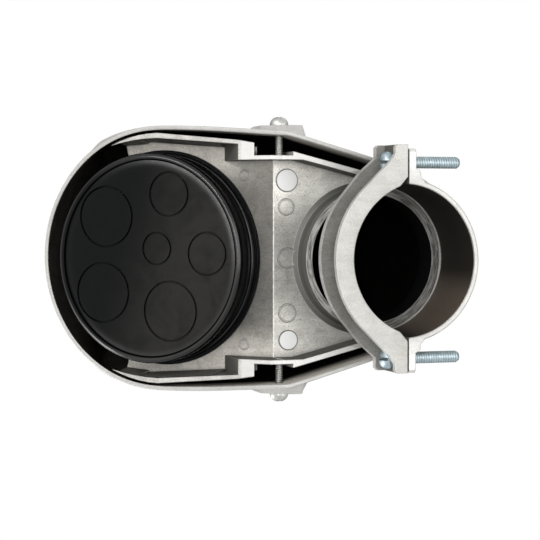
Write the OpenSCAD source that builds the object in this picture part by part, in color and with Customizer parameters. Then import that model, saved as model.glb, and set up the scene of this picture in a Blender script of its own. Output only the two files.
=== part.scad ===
// Clamp-on service entrance weatherhead for a 2 inch mast conduit.
// Millimetres. +Z runs up the conduit axis, +X points to the wire openings, and the origin
// is on the conduit axis at the mouth of the collar. The base, hood and strap are die cast
// and drawn along Z, so their side walls stand parallel to the conduit axis.

/* [Conduit collar] */
// Inside radius of the fixed half collar
collar_r = 30.5; // [30.3:0.1:31]
// Wall thickness of the fixed half collar
collar_wall = 2.1; // [1.8:0.1:2.6]
// Depth from the collar mouth to the ledge that the conduit stops on
collar_depth = 33; // [30:0.5:36]
// Radius of the wire passage
throat_r = 26.5; // [25:0.5:27.5]

/* [Base casting] */
// Height of the underside of the level plate
plate_z = 42; // [40:0.5:45]
// Thickness of the plate
plate_t = 2.5; // [2:0.1:3]
// Distance from the conduit axis to the ridge where the plate turns up
ridge_x = 40.2; // [39:0.2:42]
// Slope of the front plate
slope = 45; // [43:0.5:47]
// Depth of the side walls, square to the plate
wall_depth = 13; // [11:0.5:14]
// Thickness of the side walls
wall_t = 2.1; // [1.8:0.1:2.6]
// Radius of the rounded rear end of the tray
tray_rear_r = 33.6; // [33.4:0.1:34]
// Half width of the tray at the insert
tray_w = 52.1; // [51.5:0.1:52.3]

/* [Hood] */
// Wall thickness of the hood
hood_t = 1.8; // [1.6:0.1:2.2]
// Half width of the hood at its screws
hood_waist_w = 52; // [51.8:0.1:52.6]
// Half width of the hood at the insert
hood_w = 55.2; // [55:0.1:57]
// Front lip of the hood, from the conduit axis
hood_front = 122.5; // [122:0.1:126]
// Height of the level part of the rim
hood_rim_z = 25; // [23:0.5:27]
// Height of the crown
hood_top = 147; // [143:1:160]

/* [Insert] */
// Distance up the slope from the ridge to the centre of the insert
insert_u = 51.4; // [50.5:0.1:52]
// Radius of the front face
face_r = 43.9; // [43:0.1:44.3]
// How far the face stands out from the plate
face_out = 14.5; // [12:0.5:16]
// Radius of the flange behind the plate
back_r = 47.5; // [46:0.1:48]

/* [Clamp] */
// Height of the strap along the conduit
strap_h = 18; // [16:0.5:20]
// Inside radius of the strap
strap_r = 31; // [30.6:0.1:31.4]
// How far the strap's centre stands behind the conduit axis when shut
strap_back = 10; // [9:0.5:11]
// Distance from the mid plane to each clamp screw
clamp_y = 39.2; // [38.8:0.1:40]
// Diameter of the clamp screws
clamp_d = 4.8; // [4.4:0.1:5.2]
// Length of the clamp screws under the head
clamp_len = 29.5; // [28:0.5:34]

/* [Hood screws] */
// Diameter of the hood screws
screw_d = 3.1; // [2.8:0.1:3.5]
// Diameter of their heads
head_d = 7.5; // [6.8:0.1:8]

/* [Hidden] */
$fn = 72;
far = 300;                                   // longer than any piece
tap_gap = 0.05;                              // round a screw in its own thread
seat_gap = 0.1;                              // under a screw head

// Tray outline
rear_flare = 14.2;                           // angle of the flanks behind the ridge
tray_rear_in = tray_rear_r - wall_t;
screw_wall_in = 40.5;                        // wall that takes the hood screws
screw_wall_out = 42.2;
pocket_rear = 36.1;                          // notch beside that wall
pocket_floor = 45.6;
pocket_front = 51;
block_front = 56.2;
front_w = 48.6;                              // outer half width where the front walls start
arc_x = 83;                                  // where the front walls start to close in
arc_a = 37;
wall_end_a = 47.2;                           // longer inner arc, so that the walls end thin
tray_end = 69.4;                             // cut end of the two arms, up the slope
seat_r = 44.6;                               // opening for the insert
channel_w = 43.3;

// Ledge ring and ears
ring_out = throat_r + 2.7;
ring_root = 3.2;
lip = 1.6;
collar_out = collar_r + collar_wall;
parting_x = -2.4;
ear_t = 2.9;
ear_w = 44.5;
ear_h = 22;

// Strap
strap_face = parting_x + 0.6;
strap_web = 2.5;
strap_ear_t = 3.8;
strap_ear_w = 45.3;
flange_t = 2.6;
near_flange_r = 38.5;
far_flange_r = 39.3;
near_reach = 3.5;                            // front edges of the flanges over the ears
far_reach = 5.8;
clear_r = clamp_d / 2 + 0.9;
strap_lean = 0.8;                            // the strap lies to one side in its clear holes
clamp_z = strap_h / 2;
clamp_seat_x = strap_face + strap_ear_t + seat_gap;

// Hood
hood_rear_r = 38.2;                          // rounded rear end, round the conduit axis
flank_x = 2;                                 // where the straight flank starts
hood_flare = 15.8;
waist_x = 39.6;
rim_bend = 39.6;
hood_arc_x = 82.6;
crown_x = 34;
screw_x = 40.2;
screw_z = 35;
pad_w = 54.4;
pad_rear = 31.4;
pad_front = 50.8;
pad_low = 26.2;
pad_high = 46.5;
screw_hole_r = screw_d / 2 + 0.45;
lean_a = 58;                                 // how far round its ellipse the front lip lies
arm_cos = 0.79;                              // direction of the arms' ends, where the lean stops
lip_h = 0.6;                                 // height of the rim's rounding
screw_tip = 40.9;

// ---------- slope ----------

// Moves children onto the slope: X up it from the ridge, Z square out of it.
module on_slope(u = 0) {
    translate([ridge_x, 0, plate_z]) rotate([0, -slope, 0]) translate([u, 0, 0])
        rotate([180, 0, 0]) children();
}

// A line below the plate at distance d: level, then up the slope.
function bend_x(d) = ridge_x + d * tan(slope / 2);
function line_z(x, d) = plate_z - d + max(0, x - bend_x(d)) * tan(slope);

module slab(d_low, d_high) {
    rear = -60;
    front = 130;
    rotate([90, 0, 0]) linear_extrude(far, center = true) polygon(concat(
        [for (x = [rear, bend_x(d_low), front]) [x, line_z(x, d_low)]],
        [for (x = [front, bend_x(d_high), rear]) [x, line_z(x, d_high)]]));
}

module both_sides() {
    children();
    mirror([0, 1, 0]) children();
}

// ---------- plan outlines ----------

// Half width at x of a flank that leaves a circle of radius r at angle a.
function flank(r, a, x) = (r + x * sin(a)) / cos(a);
function arc(cx, rx, ry, t0, t1, n) = [for (i = [0 : n])
    let (t = t0 + (t1 - t0) * i / n) [cx + rx * cos(t), ry * sin(t)]];
function mirrored(half) = concat(half, [for (i = [len(half) - 1 : -1 : 0])
    if (half[i][1] > 0.001) [half[i][0], -half[i][1]]]);

module tray_outer() {
    polygon(mirrored(concat(
        arc(0, tray_rear_r, tray_rear_r, 180, 90 + rear_flare, 12),
        [[pocket_rear, flank(tray_rear_r, rear_flare, pocket_rear)], [block_front, front_w]],
        arc(arc_x, arc_a, tray_w, 90, 0, 18))));
}

module tray_inner() {
    step_y = front_w - wall_t + 0.5;
    polygon(mirrored(concat(
        arc(0, tray_rear_in, tray_rear_in, 180, 90 + rear_flare, 12),
        [[24, flank(tray_rear_in, rear_flare, 24)], [32, screw_wall_in],
         [block_front, screw_wall_in], [block_front, step_y]],
        arc(arc_x, wall_end_a, tray_w - wall_t, 90, 0, 18))));
}

// ---------- base casting ----------

module tray() {
    difference() {
        intersection() {
            linear_extrude(far) tray_outer();
            slab(wall_depth, -plate_t);
        }
        intersection() {
            linear_extrude(far) tray_inner();
            slab(wall_depth + 5, 0);
        }
        // Wire passage through the plate, hidden in the collar's ring
        translate([0, 0, plate_z - 1]) cylinder(r = throat_r + 1, h = plate_t + 2);
    }
}

// Half collar, ledge for the conduit end, wire passage and rolled lip, in one revolve.
module collar() {
    top = plate_z + plate_t + 0.8;
    difference() {
        rotate_extrude() polygon(concat(
            [[collar_r + 0.4, 0], [collar_out - 0.4, 0], [collar_out, 0.4],
             [collar_out, plate_z - ring_root + 0.6], [collar_out + 0.3, plate_z + 0.6],
             [throat_r + 2 * lip, plate_z + 0.6]],
            [for (t = [0 : 20 : 180]) [throat_r + lip + lip * cos(t), top + lip * sin(t)]],
            [[throat_r, collar_depth], [collar_r - 0.4, collar_depth],
             [collar_r, collar_depth - 0.6], [collar_r, 0.4]]));
        // Open front half, with the ring left standing below the plate
        translate([parting_x, -far / 2, -1]) cube([far, far, collar_depth + 1]);
        difference() {
            translate([parting_x, -far / 2, collar_depth - 1])
                cube([far, far, plate_z - collar_depth + 1]);
            rotate_extrude() polygon([[0, collar_depth - 2], [ring_out, collar_depth - 2],
                [ring_out, plate_z - ring_root], [ring_out + 0.3 * ring_root, plate_z - 1.1],
                [ring_out + ring_root, plate_z + 0.3], [0, plate_z + 0.3]]);
        }
    }
}

module collar_ear() {
    bevel = 1.2;
    translate([parting_x - ear_t, 0, 0]) rotate([90, 0, 90]) linear_extrude(ear_t)
        polygon([[collar_r + 0.6, 0], [ear_w - bevel, 0], [ear_w, bevel],
                 [ear_w, ear_h - 4], [ear_w - 4, ear_h], [collar_r + 0.6, ear_h]]);
    // Rounded root behind the ear
    linear_extrude(ear_h - 2) polygon([[-5.2, 31], [-9.4, 31], [-7.4, 33.2], [-7.3, 35],
                                       [-6.5, 36.1], [-5.2, 36.5]]);
}

// Notch beside the screw wall; its front part keeps a floor at plate level.
module pocket() {
    translate([pocket_rear, screw_wall_out, 20])
        cube([pocket_floor - pocket_rear, far, far]);
    intersection() {
        translate([pocket_rear + 1, screw_wall_out, 20])
            cube([pocket_front - pocket_rear - 1, far, far]);
        slab(30, 0);
    }
}

// Draft at the foot of a front wall: from a to b up the slope, w wide at the plate.
module foot(a, b, w) {
    translate([a[0], a[1], 0]) rotate([0, 0, atan2(b[1] - a[1], b[0] - a[0])])
        rotate([90, 0, 90]) linear_extrude(norm(b - a))
            polygon([[0.6, -0.4], [-w, -0.4], [-w + 0.1, 0.6], [0.6, wall_depth - 1]]);
}

// Marks that ejector pins and die tools leave on the underside: place, side, radius. They
// stand out along +Z.
pin_pads = [[34.5, 32.3, 4.6], [33.9, -33.5, 4]];
tool_rings = [[34.8, 21.4, 3.4], [34.3, 0.4, 4.2], [34.3, -22.3, 3.8]];
slope_rings = [[13.2, 34.6, 2.3], [13.6, -35.6, 2.3]];
ring_w = 0.5;

module pin_pad(r) {
    translate([0, 0, -1]) cylinder(r = r, h = 1.5);
}

module tool_ring(r) {
    translate([0, 0, -0.75]) difference() {
        cylinder(r = r, h = 1);
        translate([0, 0, -1]) cylinder(r = r - ring_w, h = 3);
    }
}

module under_plate(place) {
    translate([place[0], place[1], plate_z]) mirror([0, 0, 1]) children();
}

module base_casting() color("silver") difference() {
    union() {
        tray();
        collar();
        both_sides() collar_ear();
        intersection() {
            linear_extrude(far) tray_outer();
            both_sides() on_slope() {
                foot([22.4, 47.1], [60.5, 50], 1);
                foot([59.5, 50], [71.5, 49.2], 1.9);
            }
        }
        for (p = pin_pads) under_plate(p) pin_pad(p[2]);
        for (t = tool_rings) under_plate(t) tool_ring(t[2]);
        on_slope() for (t = slope_rings) translate([t[0], -t[1], 0]) tool_ring(t[2]);
    }
    // Open-fronted seat for the insert
    on_slope(insert_u) translate([0, 0, -20]) {
        cylinder(r = seat_r, h = 60);
        translate([0, -channel_w, 0]) cube([far, 2 * channel_w, 60]);
    }
    both_sides() {
        // The arms end square to their curve
        on_slope(tray_end) translate([0, -44, -60]) rotate([0, 0, 14])
            translate([0, -40, 0]) cube([far, 52, 120]);
        pocket();
        translate([-20, clamp_y, clamp_z]) rotate([0, 90, 0])
            cylinder(d = clamp_d + 2 * tap_gap, h = 30);
        translate([screw_x, screw_wall_in - 5, screw_z]) rotate([-90, 0, 0])
            cylinder(d = screw_d + 2 * tap_gap, h = 20);
    }
}

// ---------- hood ----------

// Half outline of the hood in plan, set in by d: rear arc, flank, side and front arc.
function hood_half(d) = let (
        w = hood_waist_w - d,
        y0 = w - (waist_x - flank_x) * tan(hood_flare))
    concat(
        arc(0, hood_rear_r - d, hood_rear_r - d, 180, 108, 7),
        [for (k = [0 : 4]) [flank_x + (waist_x - flank_x) * k / 4, y0 + (w - y0) * k / 4]],
        [for (k = [1 : 4]) [waist_x + (hood_arc_x - waist_x) * k / 5,
                            w + (hood_w - d - w) * pow(sin(90 * k / 5), 1.3)]],
        arc(hood_arc_x, hood_front - 0.7 * d - hood_arc_x, hood_w - d, 90, 0, 13));

// Rim height, with the bend eased over a few millimetres.
function rim_z(x) = let (e = x - rim_bend, k = 2)
    hood_rim_z + (e + sqrt(e * e + k * k)) / 2 * tan(slope);

function ease(t) = let (u = min(max(t, 0), 1)) u * u * (3 - 2 * u);

// Meridian from a rim point to the crown, part of a superellipse that is squarer at the
// sides. It starts upright, but leans back square to the slope in front of the arms.
function dome(loop, d, t) = [for (p = loop)
    let (dx = p[0] - crown_x, reach = norm([dx, p[1]]),
         front = ease((dx / reach - arm_cos) / (1 - arm_cos)),
         k = 2 / (2.6 - 0.5 * front + 0.6 * abs(p[1]) / reach),
         a0 = lean_a * front, a = a0 + (90 - a0) * t / 90,
         c = (1 - 0.7 * lip_h * front / reach) * pow(cos(a) / cos(a0), k),
         low = pow(sin(a0), k), up = (pow(sin(a), k) - low) / (1 - low),
         z0 = rim_z(p[0]) + lip_h * (1 - 0.3 * front))
    [crown_x + dx * c, p[1] * c, z0 + (hood_top - d - z0) * up]];
function rim_row(loop) = [for (p = loop) [p[0], p[1], rim_z(p[0])]];

// Shell as one closed skin: outer dome, rounded rim, inner dome.
module hood_shell() {
    steps = [0, 4, 9, 16, 24, 33, 43, 54, 66, 78];
    outer = mirrored(hood_half(0));
    inner = mirrored(hood_half(hood_t));
    rows = concat(
        [for (i = [len(steps) - 1 : -1 : 0]) dome(outer, 0, steps[i])],
        [rim_row(mirrored(hood_half(0.5))), rim_row(mirrored(hood_half(hood_t - 0.5)))],
        [for (t = steps) dome(inner, hood_t, t)]);
    n = len(outer);
    m = len(rows);
    last = n * m;
    points = concat([for (r = rows) for (p = r) p],
        [[crown_x, 0, hood_top], [crown_x, 0, hood_top - hood_t]]);
    skin = [for (i = [0 : m - 2]) for (j = [0 : n - 1])
        let (a = i * n + j, b = i * n + (j + 1) % n)
        each [[a, a + n, b + n], [a, b + n, b]]];
    crown = [for (j = [0 : n - 1]) [last, j, (j + 1) % n]];
    ceiling = [for (j = [0 : n - 1]) [last + 1, last - n + (j + 1) % n, last - n + j]];
    polyhedron(points, concat(skin, crown, ceiling), convexity = 6);
}

// Thickened land under the hood screw's head: its plan, rooted in the wall, cut to its
// outline from the side, which follows the rim in front.
module hood_pad() {
    foot_x = screw_x + 0.6;
    nose_x = pad_front + 4.2;
    rear_bevel = 5;
    intersection() {
        linear_extrude(pad_high) polygon([
            [pad_rear, 48.2], [pad_front, 51.8], [pad_front, 52.8], [pad_front - 3.2, pad_w],
            [pad_rear + 1.4, pad_w], [pad_rear, pad_w - 1.2]]);
        rotate([90, 0, 0]) translate([0, 0, -far]) linear_extrude(far) polygon([
            [pad_rear, pad_low], [foot_x, pad_low], [foot_x + 2.2, pad_low + 1.6],
            [nose_x, pad_low + 13.6], [pad_front, pad_high],
            [pad_rear + rear_bevel, pad_high], [pad_rear, pad_high - rear_bevel]]);
    }
}

module hood() color("gainsboro") difference() {
    union() {
        hood_shell();
        both_sides() hood_pad();
    }
    both_sides() translate([screw_x, 44, screw_z]) rotate([-90, 0, 0])
        cylinder(r = screw_hole_r, h = 20);
}

// ---------- wire insert ----------

// Grooved outline of each knock-out: up the slope, across, radius.
knockouts = [[20.4, 17.3, 12.6], [-10, 26.7, 9], [-4.2, 4.1, 6.6],
             [-28, 2.2, 8.7], [22.1, -14.7, 12.5], [-10.6, -21.8, 12.3]];
groove = 0.9;

module wire_insert() color("#1c1c1c") on_slope(insert_u) difference() {
    back = -plate_t - 0.05;
    cup_r = 40.5;
    floor_z = face_out - 2.2;
    rotate_extrude($fn = 96) polygon([
        [0, floor_z], [cup_r - 1.5, floor_z], [cup_r, floor_z - 1.5], [cup_r, back - 2.2],
        [back_r - 0.4, back - 2.2], [back_r, back - 1.8], [back_r, back], [42.9, back],
        [42.9, 0.05], [45.3, 0.05], [45.3, 1.4], [45, 1.8], [44.2, 1.9], [44.1, 3],
        [43.7, 3.4], [43.1, 3.4], [43, 4.7], [42.5, 5.2],
        [42.4, face_out - 3.6], [face_r, face_out - 2.8], [face_r, face_out - 1.2],
        [face_r - 0.4, face_out - 0.4], [face_r - 1.2, face_out],
        [face_r - 2.2, face_out], [face_r - 2.8, face_out - 0.5], [0, face_out - 0.5]]);
    for (k = knockouts) translate([k[0], -k[1], face_out - 1.5]) difference() {
        cylinder(r = k[2] + groove / 2, h = 3);
        translate([0, 0, -1]) cylinder(r = k[2] - groove / 2, h = 5);
    }
}

// ---------- clamp ----------

// Plan of a strap flange: arc of radius r up to angle t, straight to the ear, then over it.
module flange_plan(r, t, reach, ear_end) {
    difference() {
        polygon(mirrored(concat(
            [[strap_face, strap_ear_w], [reach - 1, strap_ear_w], [reach, strap_ear_w - 1]],
            ear_end, arc(-strap_back, r, r, t, 0, 12))));
        translate([-strap_back, 0]) circle(r = strap_r);
        both_sides() polygon([[1.7, 28.6], [strap_face, 32.6], [strap_face - 5, 32.6],
                              [strap_face - 5, 20], [1.7, 20]]);
    }
}

module clamp_strap() color("lightgray") translate([0, strap_lean, 0]) difference() {
    union() {
        linear_extrude(strap_h / 2)
            flange_plan(near_flange_r, 46, near_reach, [[near_reach, 41.7], [5.9, 38.3], [9, 35.3]]);
        translate([0, 0, strap_h / 2]) linear_extrude(strap_h / 2)
            flange_plan(far_flange_r, 42, far_reach, [[far_reach, 40.2], [12.3, 34.6]]);
    }
    // Channel outside the web and in front of the ears
    translate([0, 0, flange_t]) linear_extrude(strap_h - 2 * flange_t) difference() {
        translate([strap_face + strap_ear_t, -60]) square([60, 120]);
        translate([-strap_back, 0]) circle(r = strap_r + strap_web);
    }
    both_sides() translate([strap_face - 5, clamp_y, clamp_z]) rotate([0, 90, 0])
        cylinder(r = clear_r, h = 20);
}

module clamp_screw() {
    head_r = 4.3;
    head_h = 4.4;
    difference() {
        rotate_extrude($fn = 48) polygon([
            [0, -clamp_len], [clamp_d / 2 - 0.8, -clamp_len], [clamp_d / 2, 1 - clamp_len],
            [clamp_d / 2, 0], [head_r, 0], [head_r, 1.9], [head_r - 0.3, 2.8],
            [head_r - 1.1, 3.7], [head_r - 2.3, 4.25], [0, head_h]]);
        translate([-6, -0.65, head_h - 2]) cube([12, 1.3, 4]);
    }
}

module place_clamp_screw() {
    translate([clamp_seat_x, clamp_y, clamp_z]) rotate([0, 90, 0]) clamp_screw();
}

// ---------- hood screws ----------

module hood_screw() {
    head_h = 3.6;
    length = pad_w + seat_gap - screw_tip;
    difference() {
        rotate_extrude($fn = 48) polygon([
            [0, -length], [screw_d / 2 - 0.6, -length], [screw_d / 2, 0.8 - length],
            [screw_d / 2, 0], [head_d / 2, 0], [head_d / 2, 0.7], [head_d / 2 - 0.3, 1.6],
            [head_d / 2 - 1, 2.5], [head_d / 2 - 1.9, 3.1], [head_d / 2 - 2.9, 3.4],
            [0, head_h]]);
        translate([0, 0, head_h - 1.7]) {
            translate([-2.1, -0.45, 0]) cube([4.2, 0.9, 3]);
            translate([-0.45, -2.1, 0]) cube([0.9, 4.2, 3]);
        }
    }
}

module place_hood_screw() {
    translate([screw_x, pad_w + seat_gap, screw_z]) rotate([-90, 0, 0]) hood_screw();
}

module clamp_screw_left() color("lightsteelblue") place_clamp_screw();
module clamp_screw_right() color("lightsteelblue") mirror([0, 1, 0]) place_clamp_screw();
module hood_screw_left() color("darkgray") place_hood_screw();
module hood_screw_right() color("darkgray") mirror([0, 1, 0]) place_hood_screw();

base_casting();
hood();
wire_insert();
clamp_strap();
clamp_screw_left();
clamp_screw_right();
hood_screw_left();
hood_screw_right();
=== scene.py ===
"""Looks for the clamp-on service entrance weatherhead, laid out as an add-on.

The base casting, clamp strap and wire insert keep their solids and get cast and moulded
finishes. The hood and the four screws are worked out again as finer surfaces: the hood with
soft corners and lands, the screws with real threads and driven heads.
"""

import math

import bpy
import numpy as np
from mathutils import Matrix, Vector


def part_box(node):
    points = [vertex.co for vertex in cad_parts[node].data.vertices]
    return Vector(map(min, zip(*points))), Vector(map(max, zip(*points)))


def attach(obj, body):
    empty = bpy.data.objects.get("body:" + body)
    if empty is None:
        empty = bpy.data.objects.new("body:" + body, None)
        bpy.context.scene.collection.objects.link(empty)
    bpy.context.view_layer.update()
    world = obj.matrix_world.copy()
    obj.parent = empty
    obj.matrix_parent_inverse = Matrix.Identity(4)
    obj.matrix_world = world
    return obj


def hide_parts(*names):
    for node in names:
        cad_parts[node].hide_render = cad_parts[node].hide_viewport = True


bl_info = {
    "name": "Weatherhead looks",
    "version": (1, 0, 0),
    "blender": (4, 5, 0),
    "location": "View3D > Sidebar > Weatherhead",
    "description": "Finishes and fine pieces for a clamp-on service entrance weatherhead",
    "category": "Object",
}

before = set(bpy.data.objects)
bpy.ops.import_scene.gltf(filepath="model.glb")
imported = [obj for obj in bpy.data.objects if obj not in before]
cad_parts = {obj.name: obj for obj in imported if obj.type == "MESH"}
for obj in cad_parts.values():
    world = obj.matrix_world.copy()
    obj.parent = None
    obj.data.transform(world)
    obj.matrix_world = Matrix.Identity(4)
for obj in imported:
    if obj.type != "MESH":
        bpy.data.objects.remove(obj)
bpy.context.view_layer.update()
MM = 0.001
RIDGE_X = 0.0402            # where the plate turns up
PLATE_Z = 0.042             # level plate
CLAMP_Y = 0.0392            # clamp screws, which lie along X
CLAMP_Z = 0.009
CLAMP_SEAT_X = 0.0021       # under their heads
HOOD_SCREW_X = 0.0402       # hood screws, which lie along Y
HOOD_SCREW_Z = 0.035
INSERT_U = 0.0514           # from the ridge up the slope to the insert's middle
LAND_Y = 0.0544             # flat of the lands under the hood screws
CROWN_X = 0.034             # top of the hood
RIM_Z = 0.025               # hood's level rim at the rear
RIM_BEND_X = 0.0396         # where the hood's rim turns up and its sides start to widen
ARM_COS = 0.79              # direction of the base's arms, where the hood's lean stops
CLAMP_HEAD = 0.0044         # heights of the screws' heads
HOOD_HEAD = 0.0036
PAD_SHADOW, RING_SHADOW = 0.6, 0.4      # darkness of the painted shadow lines round pads and tool rings
MARKS = ((0.0345, 0.0323, 0.0046, PAD_SHADOW),            # x, y, radius, darkness of its painted shadow line
         (0.0339, -0.0335, 0.0040, PAD_SHADOW),
         (0.0348, 0.0214, 0.0034, RING_SHADOW),
         (0.0343, 0.0004, 0.0042, RING_SHADOW),
         (0.0343, -0.0223, 0.0038, RING_SHADOW))
WELD = 2e-6                 # vertices nearer than this are one
FLAT_ANGLE = 28             # degrees past which a solid's edge stays sharp


# ---------- settings ----------

def length(label, text, value):
    """A length in metres with its name and tooltip."""
    return bpy.props.FloatProperty(name=label, description=text, default=value,
                                   unit="LENGTH", precision=5)


def colour(label, text, value):
    """A plain colour."""
    return bpy.props.FloatVectorProperty(name=label, description=text, default=value,
                                         size=3, subtype="COLOR", min=0, max=1)


def number(label, text, value, high=1.0):
    """A factor from nothing to high."""
    return bpy.props.FloatProperty(name=label, description=text, default=value,
                                   min=0, max=high, subtype="FACTOR")


class CastSettings(bpy.types.PropertyGroup):
    """Cast metal of the base, hood and strap."""
    light: colour("Light", "Clean cast skin", (0.62, 0.612, 0.59))
    dark: colour("Dark", "Dull patches of the cast skin", (0.39, 0.382, 0.362))
    stain: colour("Stain", "Brownish die stains", (0.25, 0.215, 0.175))
    # Rim: painted highlight, partly wear, on outer corners, and painted light on the tops of the
    # tray's walls and on the collar's mouth
    rim: colour("Rim", "Bright worn edges", (0.70, 0.70, 0.69))
    # Hollow: painted shade in inner corners and hollows, painted shadow lines round the pads and
    # tool rings, and the colour of the cast pits
    hollow: colour("Hollow", "Grime in the inner corners", (0.05, 0.047, 0.042))
    # Contour: painted shade on the sides of corners turned across the main camera's line of
    # sight
    turned_shade: colour("Contour", "Sides of the corners round the openings", (0.12, 0.113, 0.098))
    inside: colour("Inside", "Shaded inside of the hood", (0.016, 0.015, 0.013))
    metallic: number("Metallic", "Share of metal in the skin", 0.35)
    roughness: number("Roughness", "Roughness of the cast skin", 0.50)
    grain: length("Grain", "Depth of the cast grain", 0.00025)
    edge: length("Edge", "Radius that cast edges are softened to", 0.0004)
    reach: length("Reach", "How far from a corner its shade reaches", 0.0035)


class HoodSettings(bpy.types.PropertyGroup):
    """The domed hood."""
    wall: length("Wall", "Wall thickness", 0.0018)
    waist: length("Waist", "Half width at the screws", 0.052)
    width: length("Width", "Half width at the insert", 0.0552)
    front: length("Front", "Front lip, from the conduit axis", 0.1225)
    rear: length("Rear", "Radius of the rear end", 0.0382)
    rim: length("Rim", "Height of the level rim", RIM_Z)
    top: length("Top", "Height of the crown", 0.147)
    lip: length("Lip", "Height of the rim's rounding", 0.0006)
    lean: bpy.props.FloatProperty(name="Lean", description="How far the front lip leans back",
                                  default=math.radians(58), unit="ROTATION")
    hole: length("Hole", "Radius of the screw holes", 0.002)


class InsertSettings(bpy.types.PropertyGroup):
    """The moulded wire insert."""
    body: colour("Body", "Black moulded plastic", (0.0022, 0.0024, 0.0026))
    # painted sheen, partly dust, over the lower part of the insert's face
    dust_and_sheen: colour("Dust", "Faint bloom on the plastic", (0.019, 0.0185, 0.0170))
    roughness: number("Roughness", "Roughness of the moulded skin", 0.26)
    shine: number("Shine", "Specular level of the moulded skin", 0.10)
    polish: number("Polish", "Specular level of the rounded rim", 0.40)
    groove: length("Groove", "Radius of the fine groove inside the rim", 0.04115)


class ScrewSettings(bpy.types.PropertyGroup):
    """Clamp and hood screws."""
    zinc: colour("Zinc", "Bluish zinc plate of the clamp screws", (0.40, 0.48, 0.51))
    steel: colour("Steel", "Plain plate of the hood screws", (0.52, 0.52, 0.50))
    shade: colour("Shade", "Thread roots", (0.045, 0.052, 0.055))
    grazing: colour("Grazing", "Reflection of the plate at grazing angles", (0.0, 0.0, 0.0))
    clamp_pitch: length("Clamp pitch", "Thread pitch of the clamp screws", 0.0010583)
    clamp_major: length("Clamp major", "Crest radius of the clamp screws", 0.0024)
    clamp_minor: length("Clamp minor", "Root radius of the clamp screws", 0.00225)
    clamp_length: length("Clamp length", "Length under the head", 0.0295)
    hood_pitch: length("Hood pitch", "Thread pitch of the hood screws", 0.0008)
    hood_major: length("Hood major", "Crest radius of the hood screws", 0.00155)
    hood_minor: length("Hood minor", "Root radius of the hood screws", 0.00122)
    roughness: number("Roughness", "Roughness of the plate", 0.38)


class StageSettings(bpy.types.PropertyGroup):
    """Floor, lamps and camera."""
    floor: colour("Floor", "Pale floor", (0.82, 0.82, 0.82))
    ambient: number("Ambient", "Strength of the room light", 0.42, 4)
    front: number("Front", "Watts of the broad lamp before the openings", 2.5, 200)
    strip: number("Strip", "Watts of each strip lamp along the insert's rim", 3, 200)
    side: number("Side", "Watts of the lamp on the collar's side", 3, 200)
    fill: number("Fill", "Watts of the lamp beyond the front lip", 4, 200)
    top: number("Top", "Watts of each lamp over the hood", 5.2, 200)


SETTINGS = {"weatherhead_cast": CastSettings, "weatherhead_hood": HoodSettings,
            "weatherhead_insert": InsertSettings, "weatherhead_screws": ScrewSettings,
            "weatherhead_stage": StageSettings}


# ---------- meshes ----------

def make_object(name, verts, faces, materials, smooth=True):
    """A mesh object from vertex and face arrays, with the object at the origin."""
    mesh = bpy.data.meshes.new(name)
    mesh.from_pydata(np.asarray(verts, float).reshape(-1, 3).tolist(), [],
                     [list(map(int, f)) for f in faces])
    mesh.polygons.foreach_set("use_smooth", np.full(len(mesh.polygons), smooth))
    for m in materials:
        mesh.materials.append(m)
    mesh.validate()
    obj = bpy.data.objects.new(name, mesh)
    bpy.context.scene.collection.objects.link(obj)
    return obj


def grid_faces(rows, cols, start=0, flip=False):
    """Quads of a grid that is open along rows and closed round its columns."""
    i, j = np.meshgrid(np.arange(rows - 1), np.arange(cols), indexing="ij")
    a = start + i * cols + j
    b = start + i * cols + (j + 1) % cols
    quads = np.stack([a, b, b + cols, a + cols], -1).reshape(-1, 4)
    return quads[:, ::-1] if flip else quads


def revolve(profile, around=64):
    """Rings of radius r at height z for each (r, z) of the profile: (r cos a, r sin a, z)."""
    p = np.asarray(profile, float)
    a = np.linspace(0, 2 * np.pi, around, endpoint=False)
    return np.stack([p[:, :1] * np.cos(a), p[:, :1] * np.sin(a),
                     np.repeat(p[:, 1:], around, 1)], -1)


def closed_tube(rings):
    """Vertices and faces of stacked rings, closed at both ends by a fan to the ring's middle."""
    rows, cols = rings.shape[:2]
    verts = np.concatenate([rings.reshape(-1, 3), rings[:1].mean(1), rings[-1:].mean(1)])
    j = np.arange(cols)
    last = rows * cols
    low = np.stack([np.full(cols, last), (j + 1) % cols, j], -1)
    high = np.stack([np.full(cols, last + 1), (rows - 1) * cols + j,
                     (rows - 1) * cols + (j + 1) % cols], -1)
    return verts, grid_faces(rows, cols).tolist() + low.tolist() + high.tolist()


def place(verts, origin, axis):
    """Turns local Z to axis and moves the points to origin."""
    z = np.asarray(axis, float)
    x = np.cross([0, 0, 1.0], z)
    x /= np.linalg.norm(x)
    y = np.cross(z, x)
    return np.asarray(origin) + verts[:, :1] * x + verts[:, 1:2] * y + verts[:, 2:] * z


def apply_modifiers(obj):
    """Bakes the object's modifiers into its mesh."""
    bpy.context.view_layer.update()
    done = bpy.data.meshes.new_from_object(
        obj.evaluated_get(bpy.context.evaluated_depsgraph_get()))
    old = obj.data
    obj.modifiers.clear()
    obj.data = done
    bpy.data.meshes.remove(old)


def cut(obj, cutters):
    """Cuts each cutter out of the object and deletes it."""
    for c in cutters:
        m = obj.modifiers.new("cut", "BOOLEAN")
        m.operation = "DIFFERENCE"
        m.solver = "EXACT"
        m.object = c
    apply_modifiers(obj)
    for c in cutters:
        bpy.data.objects.remove(c)


def sharpen(obj, degrees=35):
    """Marks edges sharper than the angle, so that smooth shading stops there."""
    obj.data.polygons.foreach_set("use_smooth", np.ones(len(obj.data.polygons), bool))
    obj.data.set_sharp_from_angle(angle=math.radians(degrees))


# ---------- node helpers ----------

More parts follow.
